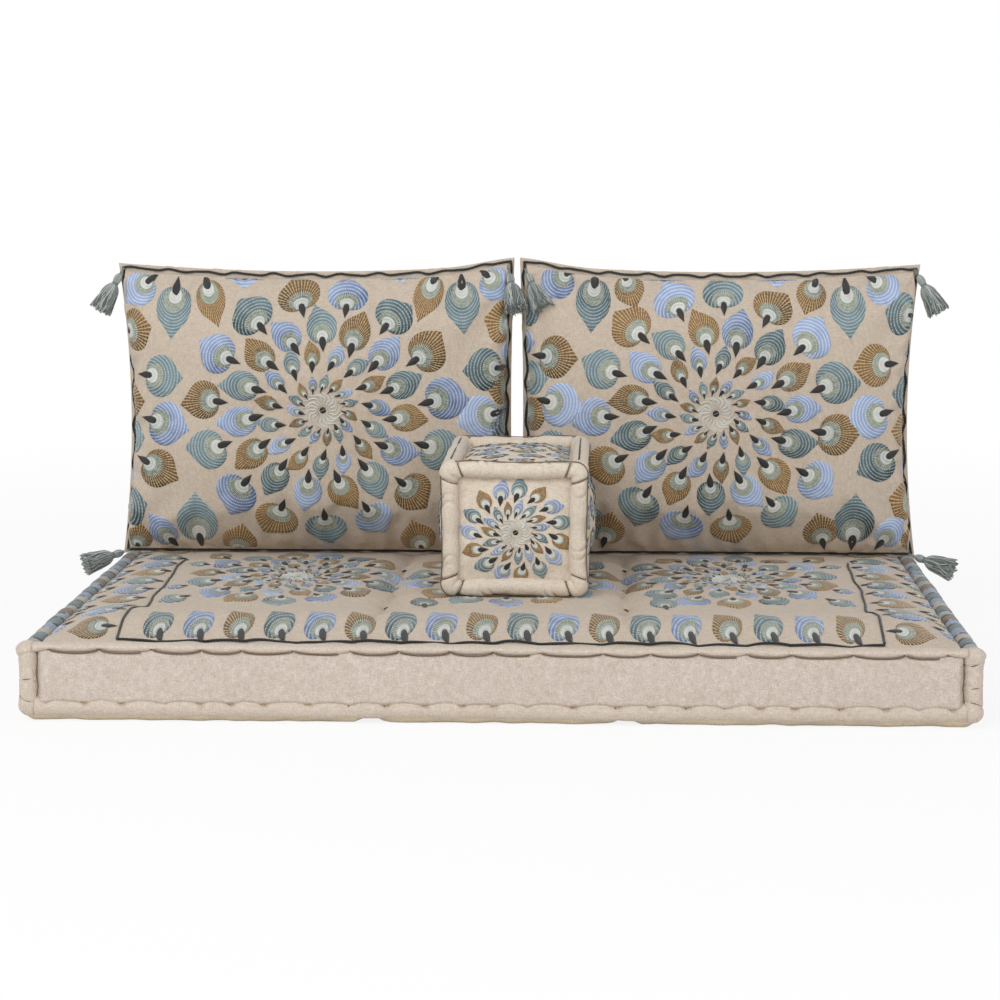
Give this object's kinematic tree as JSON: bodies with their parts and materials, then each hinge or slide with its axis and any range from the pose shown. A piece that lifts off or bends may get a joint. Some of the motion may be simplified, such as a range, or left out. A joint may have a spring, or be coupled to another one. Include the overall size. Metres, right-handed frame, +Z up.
{
  "type": "garden sofa",
  "caption": "Floor-standing garden sofa of loose cushions: a tufted seat mattress with rolled edges, tasselled back cushions and a square bolster, with peacock-feather embroidery.",
  "frame": {"origin": "on the floor, under the middle of the seat", "axes": "+X to the right across the seat for somebody who faces the sofa, +Y from the front to the back cushions, +Z up"},
  "size_m": [1.3146, 0.8, 0.5393],
  "materials": {
    "linen": "matt undyed linen",
    "embroidered_linen": "matt linen with satin-stitched embroidery",
    "embroidered_stripes": "satin-stitched bands",
    "seam_cord": "matt twisted cord",
    "yarn": "soft yarn",
    "wadding": "loose fibre filling"
  },
  "bodies": {
    "seat": {"seat_filling": "wadding", "seat_top_panel": "embroidered_linen", "seat_border_left": "embroidered_linen", "seat_border_right": "embroidered_linen", "seat_bottom_panel": "linen", "seat_boxing_front": "linen", "seat_boxing_rear": "linen", "seat_boxing_left": "linen", "seat_boxing_right": "linen", "seat_top_roll_front": "linen", "seat_top_roll_rear": "linen", "seat_top_roll_left": "embroidered_stripes", "seat_top_roll_right": "embroidered_stripes", "seat_bottom_rolls": "linen", "seat_corner_roll_front_left": "linen", "seat_corner_roll_front_right": "linen", "seat_corner_roll_rear_left": "linen", "seat_corner_roll_rear_right": "linen", "seat_front_cord": "seam_cord", "seat_side_cord_left": "seam_cord", "seat_side_cord_right": "seam_cord", "seat_tuft_ties": "seam_cord"},
    "left_back_cushion": {"left_cushion_filling": "wadding", "left_cushion_front_panel": "embroidered_linen", "left_cushion_rear_panel": "linen", "left_cushion_edge_cord": "seam_cord"},
    "right_back_cushion": {"right_cushion_filling": "wadding", "right_cushion_front_panel": "embroidered_linen", "right_cushion_rear_panel": "linen", "right_cushion_edge_cord": "seam_cord"},
    "bolster": {"bolster_filling": "wadding", "bolster_end_front": "embroidered_linen", "bolster_end_rear": "embroidered_linen", "bolster_panel_top": "embroidered_linen", "bolster_panel_bottom": "linen", "bolster_panel_left": "embroidered_linen", "bolster_panel_right": "embroidered_linen", "bolster_end_roll_front": "linen", "bolster_end_roll_rear": "linen", "bolster_roll_top_left": "linen", "bolster_roll_top_right": "linen", "bolster_roll_bottom_left": "linen", "bolster_roll_bottom_right": "linen"},
    "left_top_outer_tassel": {"left_cushion_top_outer_tassel_head": "yarn", "left_cushion_top_outer_tassel_skirt": "yarn"},
    "left_top_inner_tassel": {"left_cushion_top_inner_tassel_head": "yarn", "left_cushion_top_inner_tassel_skirt": "yarn"},
    "left_bottom_outer_tassel": {"left_cushion_bottom_outer_tassel_head": "yarn", "left_cushion_bottom_outer_tassel_skirt": "yarn"},
    "left_bottom_inner_tassel": {"left_cushion_bottom_inner_tassel_head": "yarn", "left_cushion_bottom_inner_tassel_skirt": "yarn"},
    "right_top_outer_tassel": {"right_cushion_top_outer_tassel_head": "yarn", "right_cushion_top_outer_tassel_skirt": "yarn"},
    "right_top_inner_tassel": {"right_cushion_top_inner_tassel_head": "yarn", "right_cushion_top_inner_tassel_skirt": "yarn"},
    "right_bottom_outer_tassel": {"right_cushion_bottom_outer_tassel_head": "yarn", "right_cushion_bottom_outer_tassel_skirt": "yarn"},
    "right_bottom_inner_tassel": {"right_cushion_bottom_inner_tassel_head": "yarn", "right_cushion_bottom_inner_tassel_skirt": "yarn"}
  },
  "joints": [
    {"name": "left_back_cushion_lift", "type": "slide", "parent": "seat", "child": "left_back_cushion", "axis": [0, 0, 1], "range_m": [0, 0.15]},
    {"name": "right_back_cushion_lift", "type": "slide", "parent": "seat", "child": "right_back_cushion", "axis": [0, 0, 1], "range_m": [0, 0.15]},
    {"name": "bolster_lift", "type": "slide", "parent": "seat", "child": "bolster", "axis": [0, 0, 1], "range_m": [0, 0.15]},
    {"name": "left_top_outer_tassel_swing", "type": "hinge", "parent": "left_back_cushion", "child": "left_top_outer_tassel", "pos_m": [-0.5878, 0.3239, 0.5311], "axis": [0, 1, 0], "range_deg": [0, 75]},
    {"name": "left_top_inner_tassel_swing", "type": "hinge", "parent": "left_back_cushion", "child": "left_top_inner_tassel", "pos_m": [-0.0122, 0.3239, 0.5311], "axis": [-1, 0, 0], "range_deg": [0, 55]},
    {"name": "left_bottom_outer_tassel_swing", "type": "hinge", "parent": "left_back_cushion", "child": "left_bottom_outer_tassel", "pos_m": [-0.5878, 0.3239, 0.1065], "axis": [0, 1, 0], "range_deg": [0, 60]},
    {"name": "left_bottom_inner_tassel_swing", "type": "hinge", "parent": "left_back_cushion", "child": "left_bottom_inner_tassel", "pos_m": [-0.0122, 0.3239, 0.1065], "axis": [-1, 0, 0], "range_deg": [0, 35]},
    {"name": "right_top_outer_tassel_swing", "type": "hinge", "parent": "right_back_cushion", "child": "right_top_outer_tassel", "pos_m": [0.5878, 0.3239, 0.5311], "axis": [0, -1, 0], "range_deg": [0, 75]},
    {"name": "right_top_inner_tassel_swing", "type": "hinge", "parent": "right_back_cushion", "child": "right_top_inner_tassel", "pos_m": [0.0122, 0.3239, 0.5311], "axis": [-1, 0, 0], "range_deg": [0, 55]},
    {"name": "right_bottom_outer_tassel_swing", "type": "hinge", "parent": "right_back_cushion", "child": "right_bottom_outer_tassel", "pos_m": [0.5878, 0.3239, 0.1065], "axis": [0, -1, 0], "range_deg": [0, 60]},
    {"name": "right_bottom_inner_tassel_swing", "type": "hinge", "parent": "right_back_cushion", "child": "right_bottom_inner_tassel", "pos_m": [0.0122, 0.3239, 0.1065], "axis": [-1, 0, 0], "range_deg": [0, 35]}
  ]
}
